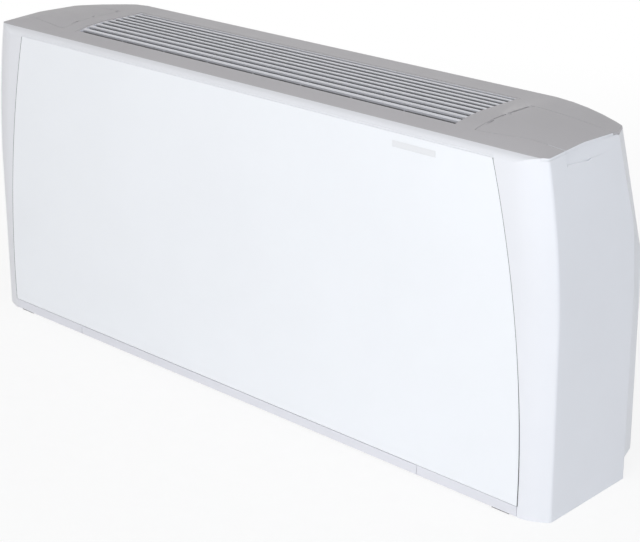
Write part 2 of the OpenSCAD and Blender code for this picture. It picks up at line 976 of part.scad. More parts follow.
module chassis_plate() {
    flange_w = 14;
    flange_len = 75;
    along_x(chassis_x - sheet, chassis_x)
        polygon([
            [chassis_d0, plate_z0], [notch_d - sheet, plate_z0], [notch_d - sheet, back_z0 + sheet],
            [cab_d - sheet, back_z0 + sheet], [cab_d - sheet, plate_z1], [chassis_d0, plate_z1]
        ]);
    block(chassis_x - eps, chassis_x + flange_w, chassis_d0, chassis_d0 + flange_len, plate_z1 - sheet,
        plate_z1);
}

module right_chassis_plate() {
    color(zinc)
        chassis_plate();
}

module left_chassis_plate() {
    window_half = header_z + tube_pitch / 2 + 3;
    color(zinc)
        mirror([1, 0, 0])
            difference() {
                chassis_plate();
                // Window for the coil's tubes, and the place of the drain pan
                coil_place()
                    translate([chassis_x - far, -row_pitch, -window_half])
                        cube([2 * far, 2 * row_pitch, 2 * window_half]);
                block(chassis_x - far, chassis_x + far, pan_d0 - pan_fit, pan_d1 + pan_fit,
                    pan_z - pan_fit, pan_z + pan_h + pan_fit);
            }
}

module back_plate() {
    color(zinc)
        difference() {
            union() {
                block(-back_half, back_half, cab_d - sheet, cab_d, back_z0, back_z1);
                block(-back_half, back_half, notch_d - sheet, cab_d, back_z0, back_z0 + sheet);
                block(-back_half, back_half, cab_d - 20, cab_d, back_z1 - sheet, back_z1);
            }
            for (x = [-1, 1], z = [0, 1])
                translate([x * wall_hole_x, back - 2 * sheet, wall_hole_z0 + z * wall_hole_z])
                    rotate([-90, 0, 0])
                        cylinder(r = wall_hole_r, h = 4 * sheet);
        }
}

module fan_deck() {
    inner = chassis_x - sheet;
    color(zinc)
        difference() {
            block(-inner, inner, chassis_d0, cab_d - sheet, deck_z, deck_z + sheet);
            for (side = [-1, 1])
                translate([side * fan_x, 0, 0])
                    block(scroll_wall - scroll_half, scroll_half - scroll_wall, duct_d0 + scroll_wall,
                        duct_d1 - scroll_wall, deck_z - 1, deck_z + sheet + 1);
        }
}

module front_baffle() {
    inner = chassis_x - sheet;
    color(zinc)
        block(-inner, inner, chassis_d0, chassis_d0 + sheet, deck_z + sheet,
            top_z(chassis_d0, cover_t + cover_fit + rail_t) - cover_fit);
}

module insulation() {
    foam_t = 6;
    inner = chassis_x - sheet - 1;
    color([0.22, 0.22, 0.23])
        block(-inner, inner, cab_d - sheet - foam_t, cab_d - sheet, deck_z + 4, plate_z1 - 3);
}

// A bracket from the chassis plate out to a side panel's boss
module side_bracket(d, z, x1) {
    z0 = z - bracket_rise / 2 - 2;
    difference() {
        union() {
            block(chassis_x, x1, d - bracket_w / 2, d + bracket_w / 2, z0, z0 + sheet);
            block(chassis_x, chassis_x + sheet, d - bracket_w / 2, d + bracket_w / 2, z0, z0 + bracket_rise);
            block(x1 - sheet, x1, d - bracket_w / 2, d + bracket_w / 2, z0, z0 + bracket_rise);
        }
        rod_x(x1 - 2 * sheet, x1 + 1, d, z, boss_screw_r + 2 * screw_fit);
    }
}

module side_brackets() {
    color(zinc)
        for (side = [0, 1])
            mirror([side, 0, 0]) {
                side_bracket(top_boss[0], top_boss[1], top_boss_x);
                side_bracket(foot_boss[0], foot_boss[1], foot_boss_x);
            }
}

module bracket_screws() {
    head_r = 4;
    head_h = 2.4;
    color(zinc)
        for (side = [0, 1], at = [[top_boss_x, top_boss], [foot_boss_x, foot_boss]])
            mirror([side, 0, 0]) {
                rod_x(at[0] - sheet, at[0] + screw_len, at[1][0], at[1][1], boss_screw_r);
                rod_x(at[0] - sheet - head_h, at[0] - sheet, at[1][0], at[1][1], head_r);
            }
}

// Fans
function scroll_r(a) = scroll_r0 + scroll_growth * (a - scroll_a0) / (360 - scroll_a0);
duct_d0 = fan_d + scroll_r0 * cos(scroll_a0);
duct_d1 = fan_d + scroll_r(360);

// Side view of the scroll and its duct, drawn in by inset and run up to a height
module scroll_outline(inset, top) {
    polygon(concat(
        [for (a = [scroll_a0 : 10 : 360])
            [fan_d, fan_z] + (scroll_r(a) - inset) * [cos(a), sin(a)]],
        [[duct_d1 - inset, top], [duct_d0 + inset, top]]
    ));
}

module fan_housing(side) {
    lip_r = 4;
    x0 = side * fan_x - scroll_half;
    x1 = side * fan_x + scroll_half;
    color(dark)
        difference() {
            union() {
                along_x(x0, x1)
                    scroll_outline(0, deck_z);
                for (x = [x0, x1])
                    translate([x, front + fan_d, fan_z])
                        rotate([0, 90, 0])
                            rotate_extrude()
                                translate([inlet_r + lip_r, 0])
                                    circle(r = lip_r, $fn = 24);
            }
            along_x(x0 + scroll_wall, x1 - scroll_wall)
                scroll_outline(scroll_wall, deck_z + 1);
            rod_x(x0 - far, x1 + far, fan_d, fan_z, inlet_r);
        }
}

module left_fan_housing() {
    fan_housing(-1);
}

module right_fan_housing() {
    fan_housing(1);
}

// Side view of the forward-curved blades about the fan's axis
module blades() {
    blade_in = wheel_r - 12;
    bow_r = 14;
    blade_t = 1;
    for (i = [0 : blade_n - 1])
        rotate(i * 360 / blade_n)
            intersection() {
                difference() {
                    circle(r = wheel_r - eps);
                    circle(r = blade_in + eps);
                }
                translate([wheel_r - 7, -bow_r])
                    difference() {
                        circle(r = bow_r);
                        circle(r = bow_r - blade_t);
                        translate([-2 * bow_r, -2 * bow_r])
                            square([4 * bow_r, 2 * bow_r]);
                    }
            }
}

module impeller(side) {
    ring_w = 5;
    disc_t = 2;
    hub_r = 15;
    hub_half = 16;
    ring_in = wheel_r - 12;
    half = wheel_w / 2;
    color([0.3, 0.32, 0.34])
        translate([side * fan_x, front + fan_d, fan_z])
            rotate([90, 0, 90])
                difference() {
                    union() {
                        translate([0, 0, -half])
                            linear_extrude(wheel_w)
                                blades();
                        for (z = [-half, half - ring_w])
                            translate([0, 0, z])
                                linear_extrude(ring_w)
                                    difference() {
                                        circle(r = wheel_r);
                                        circle(r = ring_in);
                                    }
                        translate([0, 0, -disc_t / 2])
                            cylinder(r = wheel_r, h = disc_t);
                        translate([0, 0, -hub_half])
                            cylinder(r = hub_r, h = 2 * hub_half);
                    }
                    translate([0, 0, -half])
                        cylinder(r = shaft_r + shaft_fit / 2, h = wheel_w);
                }
}

module left_impeller() {
    impeller(-1);
}

module right_impeller() {
    impeller(1);
}

module motor_shaft() {
    color(zinc)
        rod_x(-shaft_half, shaft_half, fan_d, fan_z, shaft_r);
}

module motor() {
    bell = 8;
    pocket_d = bearing_w + 1;
    color([0.55, 0.57, 0.6])
        translate([0, front + fan_d, fan_z])
            rotate([0, 90, 0])
                difference() {
                    union() {
                        rotate_extrude()
                            polygon([
                                [0, -boss_half], [boss_r, -boss_half], [boss_r, -motor_half - bell],
                                [motor_r - bell, -motor_half - bell], [motor_r, -motor_half],
                                [motor_r, motor_half], [motor_r - bell, motor_half + bell],
                                [boss_r, motor_half + bell], [boss_r, boss_half], [0, boss_half]
                            ]);
                        for (z = [-motor_half, motor_half - 4])
                            translate([0, 0, z])
                                cylinder(r = motor_r + 3, h = 4);
                    }
                    translate([0, 0, -boss_half - 1])
                        cylinder(r = shaft_r + 1, h = 2 * boss_half + 2);
                    for (z = [-boss_half - 1, boss_half + 1 - pocket_d])
                        translate([0, 0, z])
                            cylinder(r = bearing_r + shaft_fit / 2, h = pocket_d);
                }
}

module motor_bearings() {
    color(brass)
        for (x = [-boss_half, boss_half - bearing_w])
            difference() {
                rod_x(x, x + bearing_w, fan_d, fan_z, bearing_r);
                rod_x(x - 1, x + bearing_w + 1, fan_d, fan_z, shaft_r + shaft_fit);
            }
}

module motor_mounts() {
    color(dark)
        for (side = [0, 1])
            mirror([side, 0, 0])
                difference() {
                    rod_x(boss_half - mount_w - 1, boss_half - 1, fan_d, fan_z, mount_r);
                    rod_x(boss_half - mount_w - 2, boss_half, fan_d, fan_z, boss_r + shaft_fit);
                }
}

module motor_bracket() {
    arm_x = boss_half - mount_w / 2 - 1;
    arm_t = 2;
    foot_half = mount_r + 8;
    color(zinc)
        difference() {
            union() {
                block(-arm_x - arm_t / 2, arm_x + arm_t / 2, fan_d - bracket_half_w, fan_d + bracket_half_w,
                    deck_z - arm_t, deck_z);
                for (x = [-arm_x, arm_x])
                    along_x(x - arm_t / 2, x + arm_t / 2)
                        polygon([
                            [fan_d - bracket_half_w, deck_z], [fan_d + bracket_half_w, deck_z],
                            [fan_d + foot_half, fan_z - foot_half], [fan_d - foot_half, fan_z - foot_half]
                        ]);
            }
            rod_x(-boss_half, boss_half, fan_d, fan_z, mount_r + shaft_fit);
        }
}

module capacitor() {
    can_r = 15;
    can_x = boss_half + 32;
    clip_h = 4;
    clip_half = 9;
    can_z = deck_z - can_r - clip_h;
    can_d = 52;
    can_len = 60;
    cap_len = 7;
    color([0.82, 0.82, 0.8]) {
        rod_y(can_d, can_d + can_len, can_x, can_z, can_r);
        rod_y(can_d - cap_len, can_d + eps, can_x, can_z, can_r / 2);
        block(can_x - clip_half, can_x + clip_half, can_d + can_len / 4, can_d + 3 * can_len / 4,
            can_z + can_r - clip_h, deck_z);
    }
}

// Coil
// Place of tube i in a row, as thickness and height in the coil's frame
function tube_at(row, i) = [
    (row - 0.5) * row_pitch,
    (i - (tube_n - 1) / 2) * tube_pitch + (row - 0.5) * tube_pitch / 2
];

// Section of the coil's fins or end plates, with a hole for each tube
module coil_section(rim) {
    difference() {
        square([coil_t + 2 * rim, coil_h + tube_pitch / 2 + 2 * rim], center = true);
        for (row = [0, 1], i = [0 : tube_n - 1])
            translate(tube_at(row, i))
                circle(r = tube_r + tube_fit, $fn = 32);
    }
}

module coil_along_x(x0, x1) {
    translate([x0, 0, 0])
        rotate([90, 0, 90])
            linear_extrude(x1 - x0)
                children();
}

module coil_fins() {
    step = (2 * coil_half - fin_t) / (fin_n - 1);
    color([0.8, 0.82, 0.84])
        coil_place()
            for (i = [0 : fin_n - 1])
                coil_along_x(-coil_half + i * step, -coil_half + i * step + fin_t)
                    coil_section(0);
}

module tube(row, i, x0, x1) {
    at = tube_at(row, i);
    translate([x0, at.x, at.y])
        rotate([0, 90, 0])
            cylinder(r = tube_r, h = x1 - x0);
}

// Return bend between tube i and the next one, on the side that x points to
module return_bend(row, i, side) {
    at = tube_at(row, i);
    translate([side * bend_x, at.x, at.y + tube_pitch / 2])
        mirror([side < 0 ? 1 : 0, 0, 0])
            rotate([-90, -90, 0])
                rotate_extrude(angle = 180)
                    translate([tube_pitch / 2, 0])
                        circle(r = tube_r);
}

module coil_tubes() {
    color(copper)
        coil_place()
            for (row = [0, 1]) {
                for (i = [0 : tube_n - 1])
                    tube(row, i, i == 0 || i == tube_n - 1 ? -header_x : -bend_x, bend_x);
                for (i = [0 : 2 : tube_n - 2])
                    return_bend(row, i, 1);
                for (i = [1 : 2 : tube_n - 3])
                    return_bend(row, i, -1);
            }
}

module coil_end_plates() {
    flange = chassis_x - sheet - end_plate_x;
    color(zinc)
        for (side = [0, 1])
            mirror([side, 0, 0])
                coil_place() {
                    coil_along_x(end_plate_x, end_plate_x + sheet)
                        coil_section(coil_rim);
                    translate([end_plate_x, coil_t / 2 + coil_rim - sheet, -coil_h / 2])
                        cube([flange, sheet, coil_h]);
                }
}

module header(z) {
    color(brass)
        coil_place()
            translate([-header_x, 0, z])
                difference() {
                    union() {
                        translate([-header_w, -header_dy, -header_dz])
                            cube([header_w, 2 * header_dy, 2 * header_dz]);
                        rotate([0, -90, 0])
                            cylinder(r = socket_r + socket_wall, h = header_w + socket_len);
                    }
                    translate([-header_w - socket_len + socket_depth, 0, 0])
                        rotate([0, -90, 0])
                            cylinder(r = socket_r, h = socket_depth + 1);
                }
}

module inlet_header() {
    header(-header_z);
}

module outlet_header() {
    header(header_z);
}

module air_vents() {
    vent_r = 4;
    vent_h = 9;
    nut_h = 4;
    color(brass)
        coil_place()
            for (z = [-header_z, header_z])
                translate([-header_x - header_w / 2, -header_dy / 2, z + header_dz]) {
                    cylinder(r = vent_r, h = vent_h);
                    translate([0, 0, vent_h / 2])
                        cylinder(r = 1.5 * vent_r, h = nut_h, $fn = 6);
                }
}

module drain_pan() {
    foot_w = 3;
    foot_in = 5;
    color(dark)
        difference() {
            union() {
                difference() {
                    block(-pan_left, pan_right, pan_d0, pan_d1, pan_z, pan_z + pan_h);
                    block(-pan_left + pan_wall, pan_right - pan_wall, pan_d0 + pan_wall, pan_d1 - pan_wall,
                        pan_z + pan_wall, pan_z + pan_h + 1);
                }
                for (x = [-3 / 4, 0, 3 / 4])
                    block(x * chassis_x - foot_w, x * chassis_x + foot_w, pan_d0 + foot_in, pan_d1 - foot_in,
                        deck_z + sheet, pan_z + eps);
                translate([-spigot_x, front + (pan_d0 + pan_d1) / 2, pan_z - spigot_len])
                    cylinder(r = spigot_r, h = spigot_len + eps);
            }
            translate([-spigot_x, front + (pan_d0 + pan_d1) / 2, pan_z - spigot_len - 1])
                cylinder(r = spigot_r - pan_wall, h = spigot_len + 2 * pan_wall + 1);
        }
}

// Electrics
box_x1 = chassis_x + box_w;
gland_x = chassis_x + box_w / 2;
gland_d = (box_d0 + box_d1) / 2;

module terminal_box() {
    color(dark)
        difference() {
            block(chassis_x, box_x1, box_d0, box_d1, box_z0, box_z1);
            block(chassis_x + box_wall, box_x1 + 1, box_d0 + box_wall, box_d1 - box_wall, box_z0 + box_wall,
                box_z1 - box_wall);
            translate([gland_x, front + gland_d, box_z0 - 1])
                cylinder(r = gland_r + 1, h = box_wall + 2);
        }
}

module terminal_box_lid() {
    edge = 8;
    color([0.25, 0.25, 0.26])
        difference() {
            block(box_x1, box_x1 + box_lid_t, box_d0, box_d1, box_z0, box_z1);
            block(box_x1 + box_lid_t / 2, box_x1 + box_lid_t + 1, box_d0 + edge, box_d1 - edge, box_z0 + edge,
                box_z1 - edge);
        }
}

module cable_gland() {
    color(dark)
        translate([gland_x, front + gland_d, box_z0 - gland_len])
            difference() {
                union() {
                    cylinder(r = gland_r + 4, h = gland_len, $fn = 6);
                    cylinder(r = gland_r + 4, h = gland_len / 2);
                }
                translate([0, 0, -1])
                    cylinder(r = gland_r, h = gland_len + 2);
            }
}

module control_plate() {
    x1 = chassis_x + control_w;
    color(pale)
        difference() {
            block(chassis_x, x1, control_d0, control_d1, control_z - control_h, control_z);
            block(chassis_x + control_wall, x1 - control_wall, control_d0 + control_wall,
                control_d1 - control_wall, control_z - control_h - 1, control_z - control_wall);
            for (x = [thermostat_x, speed_x])
                translate([x, front + knob_d, control_z - far / 2])
                    cylinder(r = stem_r + stem_fit, h = far);
        }
}

module knob(x, flute_n) {
    flute_r = 1.5;
    stem_len = 12;
    skirt_z = 8;
    mark_w = 2;
    mark_in = 2;
    color(dark)
        translate([x, front + knob_d, control_z + knob_gap])
            difference() {
                union() {
                    cylinder(r = knob_r, h = skirt_z);
                    cylinder(r = 3 * knob_r / 4, h = knob_h);
                    translate([0, 0, -stem_len])
                        cylinder(r = stem_r, h = stem_len + eps);
                }
                for (i = [0 : flute_n - 1])
                    rotate(i * 360 / flute_n)
                        translate([knob_r, 0, -1])
                            cylinder(r = flute_r, h = knob_h + 2, $fn = 24);
                translate([-mark_w / 2, mark_in, knob_h - 1])
                    cube([mark_w, knob_r, 2]);
            }
}

module thermostat_knob() {
    knob(thermostat_x, 18);
}

module speed_knob() {
    knob(speed_x, 12);
}

front_panel();
badge_plate();
front_top_rail();
left_side_panel();
right_side_panel();
top_cover();
outlet_grille();
left_flap();
right_flap();
left_hinge_pin();
right_hinge_pin();
left_base_rail();
right_base_rail();
foot_pads();
filter_bar();
filter_frame();
filter_mesh();
filter_guides();
intake_frame();
left_chassis_plate();
right_chassis_plate();
back_plate();
fan_deck();
front_baffle();
insulation();
side_brackets();
bracket_screws();
left_fan_housing();
right_fan_housing();
left_impeller();
right_impeller();
motor_shaft();
motor();
motor_bearings();
motor_mounts();
motor_bracket();
capacitor();
coil_fins();
coil_tubes();
coil_end_plates();
inlet_header();
outlet_header();
air_vents();
drain_pan();
terminal_box();
terminal_box_lid();
cable_gland();
control_plate();
thermostat_knob();
speed_knob();
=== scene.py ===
import json
import math

import bmesh
import bpy
from mathutils import Euler, Matrix, Vector


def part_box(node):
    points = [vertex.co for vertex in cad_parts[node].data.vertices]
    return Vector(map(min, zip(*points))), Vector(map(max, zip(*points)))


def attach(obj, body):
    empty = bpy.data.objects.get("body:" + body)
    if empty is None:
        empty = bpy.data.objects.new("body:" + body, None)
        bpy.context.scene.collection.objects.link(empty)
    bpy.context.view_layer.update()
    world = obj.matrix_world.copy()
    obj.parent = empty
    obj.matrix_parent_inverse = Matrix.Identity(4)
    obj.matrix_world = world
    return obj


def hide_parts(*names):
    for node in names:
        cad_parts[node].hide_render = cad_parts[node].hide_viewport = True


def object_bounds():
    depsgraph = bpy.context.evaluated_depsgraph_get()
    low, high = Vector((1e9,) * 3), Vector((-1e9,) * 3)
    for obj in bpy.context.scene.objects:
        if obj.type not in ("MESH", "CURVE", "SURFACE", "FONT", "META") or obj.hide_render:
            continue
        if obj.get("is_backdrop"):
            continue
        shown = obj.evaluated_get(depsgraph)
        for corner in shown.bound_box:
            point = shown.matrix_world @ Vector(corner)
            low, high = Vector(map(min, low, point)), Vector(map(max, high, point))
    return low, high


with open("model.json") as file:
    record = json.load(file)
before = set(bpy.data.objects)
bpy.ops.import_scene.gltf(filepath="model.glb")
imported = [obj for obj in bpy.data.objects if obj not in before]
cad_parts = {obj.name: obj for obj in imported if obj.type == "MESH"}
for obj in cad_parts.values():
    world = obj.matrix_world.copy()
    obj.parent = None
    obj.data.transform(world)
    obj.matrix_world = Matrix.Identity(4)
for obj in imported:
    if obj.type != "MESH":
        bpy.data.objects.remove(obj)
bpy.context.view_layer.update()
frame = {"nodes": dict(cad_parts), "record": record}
nodes = frame["nodes"]
scene = bpy.context.scene
scene.view_settings.view_transform = "Standard"

# Camera: a fit of the cabinet's edges, seen from the front right and above
CAMERA_DOWN = 18.6942
CAMERA_TURN = 42.7988
cam_data = bpy.data.cameras.new("camera")
cam_data.sensor_width = 36
cam_data.lens = 97.281
cam_data.shift_x = -0.02783
cam_data.shift_y = -0.12
camera = bpy.data.objects.new("camera", cam_data)
camera.location = (1.8081, -1.8246, 1.1818)
camera.rotation_euler = Euler((math.radians(90 - CAMERA_DOWN), 0, math.radians(CAMERA_TURN)))
scene.collection.objects.link(camera)
scene.camera = camera


# Node helpers
def put(tree, slot, value):
    """Links a socket to an input, or sets the input to a plain value."""
    if isinstance(value, bpy.types.NodeSocket):
        tree.links.new(value, slot)
    else:
        slot.default_value = value


def feed(tree, node, **inputs):
    """Puts values or sockets on a node's inputs, with _ for the spaces in their names."""
    for key, value in inputs.items():
        put(tree, node.inputs[key.replace("_", " ")], value)
    return node


def add(tree, kind, **inputs):
    return feed(tree, tree.nodes.new(kind), **inputs)


def math_node(tree, operation, *values):
    """The result of a Math node on sockets or numbers."""
    node = tree.nodes.new("ShaderNodeMath")
    node.operation = operation
    for slot, value in zip(node.inputs, values):
        put(tree, slot, value)
    return node.outputs["Value"]


def mix_colour(tree, share, first, second):
    """Two colours, mixed by the share of the second."""
    node = tree.nodes.new("ShaderNodeMix")
    node.data_type = "RGBA"
    return feed(tree, node, Factor=share, A=first, B=second).outputs["Result"]


def remap(tree, value, source, target):
    """A value moved from one range to another, and held within it."""
    node = add(tree, "ShaderNodeMapRange", Value=value, From_Min=source[0], From_Max=source[1],
               To_Min=target[0], To_Max=target[1])
    return node.outputs["Result"]


def split(tree, vector):
    """The X, Y and Z of a vector."""
    return add(tree, "ShaderNodeSeparateXYZ", Vector=vector).outputs


def coords(tree, scale=(1, 1, 1)):
    """The object's own coordinates in metres, stretched by scale."""
    tex = tree.nodes.new("ShaderNodeTexCoord")
    return add(tree, "ShaderNodeMapping", Vector=tex.outputs["Object"], Scale=scale).outputs["Vector"]


def noise(tree, vector, scale, detail, rough=0.55):
    node = add(tree, "ShaderNodeTexNoise", Vector=vector, Scale=scale, Detail=detail, Roughness=rough)
    return node.outputs["Fac"]


def ramp(tree, value, *stops):
    """A colour between two (place, colour) stops."""
    node = add(tree, "ShaderNodeValToRGB", Fac=value)
    for mark, (place, colour) in zip(node.color_ramp.elements, stops):
        mark.position = place
        mark.color = (*colour, 1)
    return node.outputs["Color"]


def shade(colour, k):
    return tuple(min(1.0, c * k) for c in colour)


def toned(tree, value, colour, tone):
    """A colour that goes from darker to lighter by tone along the middle of a noise."""
    return ramp(tree, value, (0.3, shade(colour, 1 - tone)), (0.7, shade(colour, 1 + tone)))


def clouded(tree, place, colour, tone):
    """A colour in broad, faint clouds."""
    return toned(tree, noise(tree, place, scale=4.0, detail=4.0), colour, tone)


def bump(tree, shader, height, strength, distance):
    node = add(tree, "ShaderNodeBump", Height=height, Strength=strength, Distance=distance)
    feed(tree, shader, Normal=node.outputs["Normal"])


def grained(tree, shader, place, grain, depth):
    """The fine grain of a painted or moulded skin."""
    bump(tree, shader, noise(tree, place, grain, detail=2.0, rough=0.5), strength=0.25, distance=depth)


def smeared(tree, shader, rough):
    """A roughness that wanders a little, in upright smears."""
    smear = noise(tree, coords(tree, (9, 9, 2.5)), scale=3.0, detail=5.0, rough=0.65)
    feed(tree, shader, Roughness=remap(tree, smear, (0, 1), (rough - 0.07, rough + 0.07)))


# Materials
def new_material(name):
    """A material with one shader, with its tree and that shader."""
    mat = bpy.data.materials.new(name)
    mat.use_nodes = True
    tree = mat.node_tree
    tree.nodes.clear()
    out = tree.nodes.new("ShaderNodeOutputMaterial")
    shader = tree.nodes.new("ShaderNodeBsdfPrincipled")
    tree.links.new(shader.outputs["BSDF"], out.inputs["Surface"])
    return mat, tree, shader


def coated(name, colour, rough, grain, grain_depth, tone, coat=0.0):
    """A painted or moulded skin: faint tone, uneven gloss and a fine grain."""
    mat, tree, shader = new_material(name)
    place = coords(tree)
    feed(tree, shader, Base_Color=clouded(tree, place, colour, tone), Coat_Weight=coat, Coat_Roughness=0.25)
    smeared(tree, shader, rough)
    grained(tree, shader, place, grain, grain_depth)
    return mat


def metal(name, colour, rough, stretch, tone=0.12, spangle=0.0, stain=None):
    """Bare metal with drawn or rolled streaks, and spangle or stain where it has them."""
    mat, tree, shader = new_material(name)
    streak = noise(tree, coords(tree, stretch), scale=60.0, detail=6.0, rough=0.6)
    tint = toned(tree, streak, colour, tone)
    if spangle:
        cells = add(tree, "ShaderNodeTexVoronoi", Vector=coords(tree), Scale=55.0)
        flake = ramp(tree, cells.outputs["Distance"],
                     (0.0, shade(colour, 1 + spangle)), (0.8, shade(colour, 1 - spangle)))
        tint = mix_colour(tree, 0.5, tint, flake)
    if stain:
        patch = noise(tree, coords(tree), scale=22.0, detail=5.0, rough=0.6)
        tint = mix_colour(tree, remap(tree, patch, (0, 1), (0, 0.8)), tint, (*stain, 1))
    gloss = remap(tree, streak, (0, 1), (rough - 0.1, rough + 0.1))
    feed(tree, shader, Base_Color=tint, Roughness=gloss, Metallic=1.0)
    bump(tree, shader, streak, strength=0.2, distance=0.0002)
    return mat


def woven(name, colour, pitch):
    """Fine woven filter cloth, a little dusty."""
    mat, tree, shader = new_material(name)
    bands = []
    for axis in ("X", "Y"):
        wave = add(tree, "ShaderNodeTexWave", Vector=coords(tree), Scale=math.pi / (10 * pitch), Distortion=0.3)
        wave.bands_direction = axis
        bands.append(wave.outputs["Fac"])
    cross = math_node(tree, "MAXIMUM", *bands)
    thread = ramp(tree, cross, (0.35, shade(colour, 0.35)), (0.85, colour))
    dust = remap(tree, noise(tree, coords(tree), scale=9.0, detail=4.0), (0, 1), (0, 0.35))
    tint = mix_colour(tree, dust, thread, (*shade(colour, 0.7), 1))
    feed(tree, shader, Base_Color=tint, Roughness=0.85)
    bump(tree, shader, cross, strength=0.6, distance=0.0004)
    return mat


# The crown of the top: an arc up to its crest, and level behind it
CREST_Y = -0.0025
CROWN_R = 0.325
TOP_Z = 0.53
# Depths between which the fins' pale heads, a painted highlight, turn into painted shade, and how much deeper
# that is per metre to the front
FIN_SHADE_DEPTHS = (0.0014, 0.0034)
FRONT_SHADE_SLOPE = 0.045
# The field of slots in the grille, inside its rim
SLOTS_HALF = 0.399
SLOTS_Y = (-0.0695, 0.0672)
# Where the cover's upright edge is white: beyond this x and in front of this y, on faces steeper than this
RIM_X = 0.546
RIM_Y = 0.0525
RIM_FACING = 0.6


def slotted_painted_shade(name, pale, painted_gap_shade, rim):
    """The grille's plastic: pale on the fins' heads as a painted highlight, painted shade deep between them,
    and the cover's tone on the rim.
    """
    mat, tree, shader = new_material(name)
    place = coords(tree)
    at = split(tree, place)
    run = math_node(tree, "MINIMUM", math_node(tree, "SUBTRACT", at["Y"], CREST_Y), 0.0)
    fall = math_node(tree, "DIVIDE", math_node(tree, "MULTIPLY", run, run), 2 * CROWN_R)
    sunk = math_node(tree, "SUBTRACT", math_node(tree, "SUBTRACT", TOP_Z, fall), at["Z"])
    sunk = math_node(tree, "MULTIPLY_ADD", run, FRONT_SHADE_SLOPE, sunk)
    # Painted shade: the fins darken with depth below the top, away from the painted highlight on their heads
    fins = ramp(tree, remap(tree, sunk, FIN_SHADE_DEPTHS, (0, 1)), (0.0, pale), (1.0, painted_gap_shade))
    outside = math_node(tree, "GREATER_THAN", math_node(tree, "ABSOLUTE", at["X"]), SLOTS_HALF)
    outside = math_node(tree, "MAXIMUM", outside, math_node(tree, "LESS_THAN", at["Y"], SLOTS_Y[0]))
    outside = math_node(tree, "MAXIMUM", outside, math_node(tree, "GREATER_THAN", at["Y"], SLOTS_Y[1]))
    tint = mix_colour(tree, outside, fins, clouded(tree, place, rim, 0.03))
    feed(tree, shader, Base_Color=tint, Roughness=0.45)
    grained(tree, shader, place, 700, 0.00004)
    return mat


def rimmed(name, top, edge):
    """The cover's plastic, with the upright edge round the corners in the side panels' white."""
    mat, tree, shader = new_material(name)
    place = coords(tree)
    at = split(tree, place)
    facing = split(tree, tree.nodes.new("ShaderNodeTexCoord").outputs["Normal"])
    upright = math_node(tree, "LESS_THAN", math_node(tree, "ABSOLUTE", facing["Z"]), RIM_FACING)
    corner = math_node(tree, "GREATER_THAN", math_node(tree, "ABSOLUTE", at["X"]), RIM_X)
    corner = math_node(tree, "MULTIPLY", corner, math_node(tree, "LESS_THAN", at["Y"], RIM_Y))
    tint = mix_colour(tree, math_node(tree, "MULTIPLY", upright, corner),
                      clouded(tree, place, top, 0.03), clouded(tree, place, edge, 0.015))
    feed(tree, shader, Base_Color=tint)
    smeared(tree, shader, 0.5)
    grained(tree, shader, place, 900, 0.00005)
    return mat


WHITE_PAINT = (0.885, 0.9, 0.925)
WHITE_PLASTIC = (0.81, 0.815, 0.845)
GREY = (0.485, 0.469, 0.482)
# Painted shade down between the grille's fins
PALE = (0.76, 0.76, 0.80)
FIN_GAP_PAINTED_SHADE = (0.1, 0.1, 0.105)
# Colour, roughness, grain per metre, grain depth, tone and coat
COATED = {
    "white_paint": (WHITE_PAINT, 0.42, 420, 0.00006, 0.012, 0.15),
    "white_plastic": (WHITE_PLASTIC, 0.45, 900, 0.00004, 0.015),
    "grey_plastic": (GREY, 0.5, 900, 0.00005, 0.03),
    "pale_plastic": (PALE, 0.42, 700, 0.00004, 0.02),
    "dark_plastic": ((0.03, 0.03, 0.033), 0.5, 600, 0.00008, 0.12),
    "rubber": ((0.022, 0.022, 0.023), 0.75, 500, 0.0001, 0.15),
    "foam": ((0.04, 0.04, 0.043), 0.85, 260, 0.0006, 0.25),
    "motor_paint": ((0.27, 0.29, 0.32), 0.4, 350, 0.0001, 0.08, 0.2),
}
MATERIALS = {slot: coated(slot, *look) for slot, look in COATED.items()}
MATERIALS["filter_cloth"] = woven("filter_cloth", (0.42, 0.45, 0.47), pitch=0.0016)
MATERIALS["galvanised"] = metal("galvanised", (0.56, 0.58, 0.60), 0.42, (1, 1, 1), tone=0.06, spangle=0.14)
MATERIALS["bright_steel"] = metal("bright_steel", (0.60, 0.60, 0.61), 0.3, (1, 30, 1))
MATERIALS["fin_aluminium"] = metal("fin_aluminium", (0.72, 0.74, 0.76), 0.35, (1, 4, 20))
MATERIALS["copper"] = metal("copper", (0.72, 0.34, 0.19), 0.32, (1, 25, 25), stain=(0.33, 0.14, 0.08))
MATERIALS["brass"] = metal("brass", (0.70, 0.50, 0.20), 0.3, (40, 1, 1))

# Pieces with a skin of their own
SKINS = {name: rimmed(name + "_skin", GREY, WHITE_PLASTIC) for name in ("top_cover", "left_flap", "right_flap")}
SKINS["outlet_grille"] = slotted_painted_shade("grille_painted_shade_skin", PALE, FIN_GAP_PAINTED_SHADE, GREY)
SKINS["badge_plate"] = coated("badge_skin", (0.80, 0.805, 0.82), 0.35, 600, 0.00003, 0.015)
slot_of = {s["node"]: s["material_slot"] for s in frame["record"]["subparts"]}
for name, obj in nodes.items():
    obj.data.materials.clear()
    obj.data.materials.append(SKINS.get(name, MATERIALS[slot_of[name]]))


